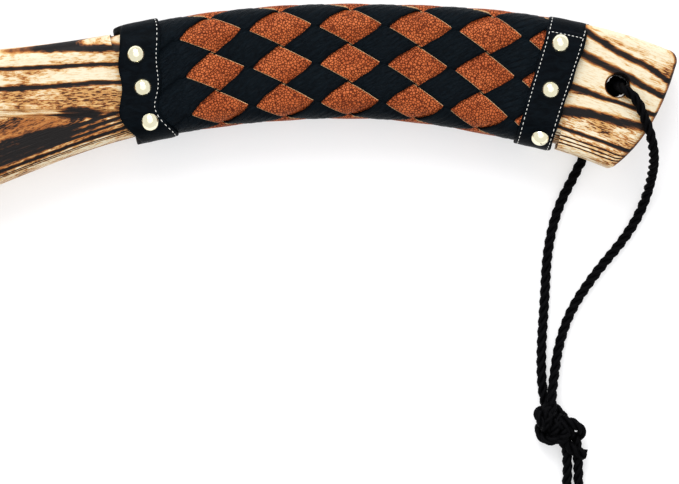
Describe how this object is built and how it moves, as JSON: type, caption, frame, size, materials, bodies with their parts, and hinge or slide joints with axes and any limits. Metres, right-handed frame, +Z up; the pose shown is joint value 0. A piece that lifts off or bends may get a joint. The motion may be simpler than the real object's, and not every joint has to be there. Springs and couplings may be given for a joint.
{
  "type": "wooden training stick",
  "caption": "Curved flat-sided wooden training stick with a flared head, a braided leather grip between nailed collars and a rope lanyard.",
  "frame": {"origin": "on the floor under the middle of the stick's own box, without the lanyard", "axes": "+X along the stick towards the butt, +Y across it towards the outside of the handle's curve, +Z up from the face that it lies on"},
  "size_m": [0.5696, 0.1948, 0.0312],
  "materials": {
    "scorched_wood": "pale open-grained wood, scorched dark along the grain and oiled",
    "black_leather": "soft black leather with fine creases",
    "orange_leather": "orange-tan leather with a pebbled grain",
    "brass": "polished",
    "thread": "waxed white thread",
    "rope": "twisted black polyester"
  },
  "bodies": {
    "root": {"wood_stick": "scorched_wood", "black_strand_1": "black_leather", "black_strand_2": "black_leather", "black_strand_3": "black_leather", "black_strand_4": "black_leather", "black_strand_5": "black_leather", "black_strand_6": "black_leather", "black_strand_7": "black_leather", "black_strand_8": "black_leather", "orange_strand_1": "orange_leather", "orange_strand_2": "orange_leather", "orange_strand_3": "orange_leather", "orange_strand_4": "orange_leather", "orange_strand_5": "orange_leather", "orange_strand_6": "orange_leather", "orange_strand_7": "orange_leather", "orange_strand_8": "orange_leather", "front_collar": "black_leather", "rear_collar": "black_leather", "front_collar_nails": "brass", "rear_collar_nails": "brass", "front_collar_stitching": "thread", "rear_collar_stitching": "thread", "lanyard_front_run": "rope", "lanyard_back_run": "rope", "lanyard_knot": "rope", "lanyard_tail_1": "rope", "lanyard_tail_2": "rope"}
  },
  "joints": []
}
